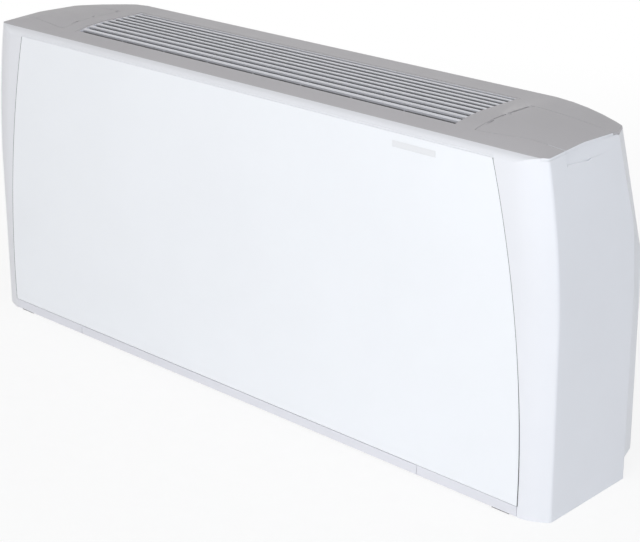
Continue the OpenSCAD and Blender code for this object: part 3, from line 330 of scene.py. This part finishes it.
# Softened edges and smooth rolls on the pieces that show
def smooth_by_angle(limit):
    """A node group that shades faces smooth and keeps the edges sharper than limit."""
    group = bpy.data.node_groups.new("smooth_by_angle", "GeometryNodeTree")
    group.interface.new_socket("Geometry", in_out="INPUT", socket_type="NodeSocketGeometry")
    group.interface.new_socket("Geometry", in_out="OUTPUT", socket_type="NodeSocketGeometry")
    start = group.nodes.new("NodeGroupInput")
    angle = group.nodes.new("GeometryNodeInputMeshEdgeAngle")
    sharp = group.nodes.new("FunctionNodeCompare")
    sharp.operation = "GREATER_THAN"
    feed(group, sharp, A=angle.outputs["Unsigned Angle"], B=limit)
    faces = add(group, "GeometryNodeSetShadeSmooth", Geometry=start.outputs["Geometry"])
    faces.domain = "FACE"
    edges = add(group, "GeometryNodeSetShadeSmooth", Geometry=faces.outputs["Geometry"],
                Selection=sharp.outputs["Result"], Shade_Smooth=False)
    edges.domain = "EDGE"
    add(group, "NodeGroupOutput", Geometry=edges.outputs["Geometry"])
    return group


SMOOTH = smooth_by_angle(math.radians(36))
CRISP = smooth_by_angle(math.radians(18))
CREASED = ("left_side_panel", "right_side_panel", "front_top_rail")
WELD_REACH = 1e-6
FLAT_ANGLE = math.radians(0.4)
BEVEL_ANGLE = math.radians(32)
BEVEL_WIDTHS = {
    "front_panel": 0.0007, "front_top_rail": 0.0005,
    "left_side_panel": 0.0006, "right_side_panel": 0.0006,
    "top_cover": 0.0005, "left_flap": 0.0005, "right_flap": 0.0005, "outlet_grille": 0.0006,
    "filter_bar": 0.0006, "left_base_rail": 0.0006, "right_base_rail": 0.0006, "badge_plate": 0.00015,
    "control_plate": 0.0008, "thermostat_knob": 0.0004, "speed_knob": 0.0004,
    "terminal_box": 0.0006, "terminal_box_lid": 0.0005, "cable_gland": 0.0005,
    "drain_pan": 0.0006, "inlet_header": 0.001, "outlet_header": 0.001,
    "filter_frame": 0.0005, "back_plate": 0.0003,
}
for name, width in BEVEL_WIDTHS.items():
    modifiers = nodes[name].modifiers
    modifiers.new("weld", "WELD").merge_threshold = WELD_REACH
    flat = modifiers.new("flat", "DECIMATE")
    flat.decimate_type = "DISSOLVE"
    flat.angle_limit = FLAT_ANGLE
    edge = modifiers.new("edge", "BEVEL")
    edge.width = width
    edge.segments = 2
    edge.limit_method = "ANGLE"
    edge.angle_limit = BEVEL_ANGLE
    modifiers.new("smooth", "NODES").node_group = CRISP if name in CREASED else SMOOTH
    modifiers.new("normals", "WEIGHTED_NORMAL").keep_sharp = True


# Pieces that Blender adds
PIECE_CREASE = math.radians(30)


def make_piece(name, bm, slot, body="cabinet"):
    """A named piece from a bmesh, with its slot's material, riding on a body."""
    mesh = bpy.data.meshes.new(name)
    bmesh.ops.recalc_face_normals(bm, faces=bm.faces)
    bm.to_mesh(mesh)
    bm.free()
    mesh.materials.append(MATERIALS[slot])
    piece = bpy.data.objects.new(name, mesh)
    scene.collection.objects.link(piece)
    mesh.shade_smooth()
    mesh.set_sharp_from_angle(angle=PIECE_CREASE)
    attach(piece, body)
    return piece


def add_box(bm, matrix, size):
    made = bmesh.ops.create_cube(bm, size=1.0)
    bmesh.ops.transform(bm, matrix=matrix @ Matrix.Diagonal((*size, 1)), verts=made["verts"])


def add_lathe(bm, matrix, profile, segments=24):
    """A turned form from (radius, height) points, closed at both ends on its axis."""
    angles = [2 * math.pi * i / segments for i in range(segments)]
    rings = []
    for radius, height in profile:
        ring = [(radius * math.cos(a), radius * math.sin(a), height) for a in angles]
        if radius == 0:
            ring = ring[:1]
        rings.append([bm.verts.new(matrix @ Vector(point)) for point in ring])
    for low, high in zip(rings, rings[1:]):
        for i in range(segments):
            j = (i + 1) % segments
            corners = [low[i % len(low)], low[j % len(low)], high[j % len(high)], high[i % len(high)]]
            unique = list(dict.fromkeys(corners))
            if len(unique) > 2:
                bm.faces.new(unique)


def add_digits(bm, matrix, digits, height, depth):
    """Plain digits, centred on the matrix and drawn up by depth."""
    curve = bpy.data.curves.new("digits", "FONT")
    curve.body = digits
    curve.size = height
    curve.extrude = depth / 2
    curve.align_x = curve.align_y = "CENTER"
    holder = bpy.data.objects.new("digits", curve)
    mesh = bpy.data.meshes.new_from_object(holder)
    mesh.transform(matrix)
    bm.from_mesh(mesh)
    bpy.data.meshes.remove(mesh)
    bpy.data.objects.remove(holder)
    bpy.data.curves.remove(curve)


# Dial prints round the two knobs: ticks and plain digits
PRINT_T = 0.00012
TICK_R = 0.0188
MAJOR_TICK = (0.0007, 0.0028, PRINT_T)
MINOR_TICK = (0.0004, 0.0018, PRINT_T)
DIGIT_R = 0.0233
DIGIT_H = 0.0044
# Knob, its turn each way in degrees, its marks, and the step from one digit to the next
DIALS = (("thermostat_knob", 135, 11, 2), ("speed_knob", 60, 4, 1))
plate_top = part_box("control_plate")[1][2]
bm = bmesh.new()
for knob, limit, marks, label_step in DIALS:
    lo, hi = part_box(knob)
    centre = Vector(((lo[0] + hi[0]) / 2, (lo[1] + hi[1]) / 2, plate_top + PRINT_T / 2))
    for i in range(marks):
        turn = math.radians(limit - 2 * limit * i / (marks - 1))
        spoke = Matrix.Translation(centre) @ Matrix.Rotation(turn, 4, "Z")
        major = i % label_step == 0
        add_box(bm, spoke @ Matrix.Translation((0, TICK_R, 0)), MAJOR_TICK if major else MINOR_TICK)
        if major:
            at = centre + spoke.to_3x3() @ Vector((0, DIGIT_R, 0))
            add_digits(bm, Matrix.Translation(at), str(i // label_step), DIGIT_H, PRINT_T)
make_piece("dial_prints", bm, "dark_plastic")

# Screws that hold the control plate and the terminal box's lid
SCREW_PROFILE = [(0, 0.0009), (0.0011, 0.0009), (0.0013, 0.0019), (0.0022, 0.0018), (0.0031, 0.0011),
                 (0.0034, 0.0003), (0.0034, -0.0002), (0, -0.0002)]
PLATE_SCREW_INSET = 0.008
LID_SCREW_INSET = 0.0042
FACING_X = Matrix.Rotation(math.radians(90), 4, "Y")
lo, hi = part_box("control_plate")
bm = bmesh.new()
for x in (lo[0] + PLATE_SCREW_INSET, hi[0] - PLATE_SCREW_INSET):
    for y in (lo[1] + PLATE_SCREW_INSET, hi[1] - PLATE_SCREW_INSET):
        add_lathe(bm, Matrix.Translation((x, y, hi[2])), SCREW_PROFILE)
make_piece("control_plate_screws", bm, "bright_steel")
lo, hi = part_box("terminal_box_lid")
bm = bmesh.new()
for y in (lo[1] + LID_SCREW_INSET, hi[1] - LID_SCREW_INSET):
    for z in (lo[2] + LID_SCREW_INSET, hi[2] - LID_SCREW_INSET):
        add_lathe(bm, Matrix.Translation((hi[0], y, z)) @ FACING_X, SCREW_PROFILE)
make_piece("terminal_lid_screws", bm, "bright_steel")

# Strips in the seams round the front panel: dark up the curved sides as painted shade in the gaps, and pale
# along the head as painted light in place of the gap's shade
SEAM_GAP = 0.0008
SEAM_STRIP_FIT = 0.00003
SEAM_STRIP_DEPTH = (0.00005, 0.0027)
SEAM_R = 1.68
SEAM_FOOT = 0.557
SEAM_Z = 0.06
SIDE_RINGS = 25
HEAD_RINGS = 9
lo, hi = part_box("front_panel")
strip_front, strip_back = lo[1] + SEAM_STRIP_DEPTH[0], lo[1] + SEAM_STRIP_DEPTH[1]
head_low, head_high = hi[2] + SEAM_STRIP_FIT, hi[2] + SEAM_GAP - SEAM_STRIP_FIT


def seam_x(z):
    """Half width of the front panel at a height."""
    return SEAM_FOOT - SEAM_R + math.sqrt(SEAM_R ** 2 - (z - SEAM_Z) ** 2)


def side_ring(share, side):
    """Four corners of a side strip of painted shade, at a share of its height."""
    z = lo[2] + share * (hi[2] - lo[2])
    x0, x1 = side * (seam_x(z) + SEAM_STRIP_FIT), side * (seam_x(z) + SEAM_GAP - SEAM_STRIP_FIT)
    return [(x0, strip_front, z), (x1, strip_front, z), (x1, strip_back, z), (x0, strip_back, z)]


def head_ring(share):
    """Four corners of the head's pale strip of painted light, at a share of its length."""
    x = (2 * share - 1) * seam_x(hi[2])
    return [(x, strip_front, head_low), (x, strip_front, head_high),
            (x, strip_back, head_high), (x, strip_back, head_low)]


def add_strip(bm, rings):
    """A closed strip through rings of four corners each."""
    rings = [[bm.verts.new(corner) for corner in ring] for ring in rings]
    for a, b in zip(rings, rings[1:]):
        for i in range(4):
            j = (i + 1) % 4
            bm.faces.new((a[i], a[j], b[j], b[i]))
    bm.faces.new(rings[0])
    bm.faces.new(rings[-1])


# Dark strips of painted shade in the side seams
bm = bmesh.new()
for side in (-1, 1):
    add_strip(bm, [side_ring(i / (SIDE_RINGS - 1), side) for i in range(SIDE_RINGS)])
seam_shade_strips = make_piece("side_seam_painted_shade", bm, "rubber")
seam_shade_strips.data.materials[0] = coated("side_seam_shade_skin", (0.045, 0.045, 0.048), 0.7, 500, 0.00005, 0.1)
# A pale strip of painted light in the head seam
bm = bmesh.new()
add_strip(bm, [head_ring(i / (HEAD_RINGS - 1)) for i in range(HEAD_RINGS)])
make_piece("head_seam_painted_light", bm, "white_plastic")

# The coil's fins at their true density, in place of the solids' few
FIN_PITCH = 0.0024
FIN_T = 0.00018
COIL_TILT = math.radians(-25)
lo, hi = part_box("coil_fins")
middle = (Vector(lo) + Vector(hi)) / 2
# A tilted fin's depth and height, from the box that it fills
lean_c, lean_s = math.cos(COIL_TILT), abs(math.sin(COIL_TILT))
box_y, box_z = hi[1] - lo[1], hi[2] - lo[2]
fin_deep = (box_y * lean_c - box_z * lean_s) / (lean_c ** 2 - lean_s ** 2)
fin_high = (box_z * lean_c - box_y * lean_s) / (lean_c ** 2 - lean_s ** 2)
slope = Matrix.Translation(middle) @ Matrix.Rotation(COIL_TILT, 4, "X")
bm = bmesh.new()
count = int((hi[0] - lo[0]) / FIN_PITCH)
for i in range(count + 1):
    x = lo[0] + FIN_T / 2 + (hi[0] - lo[0] - FIN_T) * i / count - middle.x
    add_box(bm, slope @ Matrix.Translation((x, 0, 0)), (FIN_T, fin_deep, fin_high))
fins = make_piece("coil_fin_pack", bm, "fin_aluminium")
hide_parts("coil_fins")

# Stage: a pale floor that runs out to white
FLOOR_R = 30
FLOOR_DROP = 0.0005
FLOOR_FADE = (0.5, 2.2)
FLOOR_WHITE = (0.84, 1.0)
FLOOR_TONES = ((0.3, (0.86, 0.86, 0.865)), (0.7, (0.9, 0.9, 0.905)))
mat, tree, shader = new_material("floor")
place = coords(tree)
radius = add(tree, "ShaderNodeVectorMath", Vector=place)
radius.operation = "LENGTH"
fade = remap(tree, radius.outputs["Value"], FLOOR_FADE, FLOOR_WHITE)
grit = ramp(tree, noise(tree, place, scale=30.0, detail=4.0), *FLOOR_TONES)
feed(tree, shader, Base_Color=grit, Roughness=0.8)
glow = add(tree, "ShaderNodeEmission", Strength=1.0)
rays = tree.nodes.new("ShaderNodeLightPath").outputs
shown = math_node(tree, "MAXIMUM", rays["Is Camera Ray"], rays["Is Glossy Ray"])
mixer = add(tree, "ShaderNodeMixShader", Fac=math_node(tree, "MULTIPLY", fade, shown))
tree.links.new(shader.outputs["BSDF"], mixer.inputs[1])
tree.links.new(glow.outputs["Emission"], mixer.inputs[2])
tree.links.new(mixer.outputs["Shader"], tree.nodes["Material Output"].inputs["Surface"])
mesh = bpy.data.meshes.new("floor")
bm = bmesh.new()
bmesh.ops.create_circle(bm, cap_ends=True, segments=96, radius=FLOOR_R)
bm.to_mesh(mesh)
bm.free()
floor = bpy.data.objects.new("floor", mesh)
floor.location.z = -FLOOR_DROP
mesh.materials.append(mat)
scene.collection.objects.link(floor)
floor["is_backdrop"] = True

# Surroundings: white to the eye, and as light dim on the left, bright on the right and weaker behind
LEFT_GLOW = (0.51, 0.502, 0.498)
RIGHT_GLOW = (0.96, 0.98, 1.0)
BEHIND = (-0.1, 0.5)
BEHIND_STRENGTH = (0.79, 0.52)
world = bpy.data.worlds.new("world")
scene.world = world
world.use_nodes = True
tree = world.node_tree
tree.nodes.clear()
rays = tree.nodes.new("ShaderNodeLightPath").outputs
seen = math_node(tree, "MAXIMUM", rays["Is Camera Ray"], rays["Is Transmission Ray"])
seen = math_node(tree, "MAXIMUM", seen, rays["Is Glossy Ray"])
heading = split(tree, tree.nodes.new("ShaderNodeTexCoord").outputs["Generated"])
across = remap(tree, heading["X"], (-1, 1), (0, 1))
tint = mix_colour(tree, seen, ramp(tree, across, (0.0, LEFT_GLOW), (1.0, RIGHT_GLOW)), (1, 1, 1, 1))
behind = remap(tree, heading["Y"], BEHIND, BEHIND_STRENGTH)
strength = add(tree, "ShaderNodeMix", Factor=seen, A=behind, B=1.0)
sky = add(tree, "ShaderNodeBackground", Color=tint, Strength=strength.outputs["Result"])
add(tree, "ShaderNodeOutputWorld", Surface=sky.outputs["Background"])


# Lamps
def softbox(name, place, aim, size, power, colour=(1, 1, 1)):
    data = bpy.data.lights.new(name, "AREA")
    data.shape = "RECTANGLE"
    data.size, data.size_y = size
    data.energy = power
    data.color = colour
    lamp = bpy.data.objects.new(name, data)
    lamp.location = place
    lamp.rotation_euler = (Vector(aim) - Vector(place)).to_track_quat("-Z", "Y").to_euler()
    scene.collection.objects.link(lamp)


softbox("key", place=(1.0, -2.5, 1.45), aim=(0, 0, 0.25), size=(1.8, 1.4), power=29)
softbox("fill", place=(3.0, -1.6, 1.4), aim=(0.6, 0, 0.25), size=(1.4, 1.4), power=14, colour=(0.7, 0.83, 1.0))
softbox("rear", place=(-2.2, 2.8, 0.5), aim=(0, 0, 0.25), size=(1.6, 0.7), power=15)

lo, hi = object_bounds()
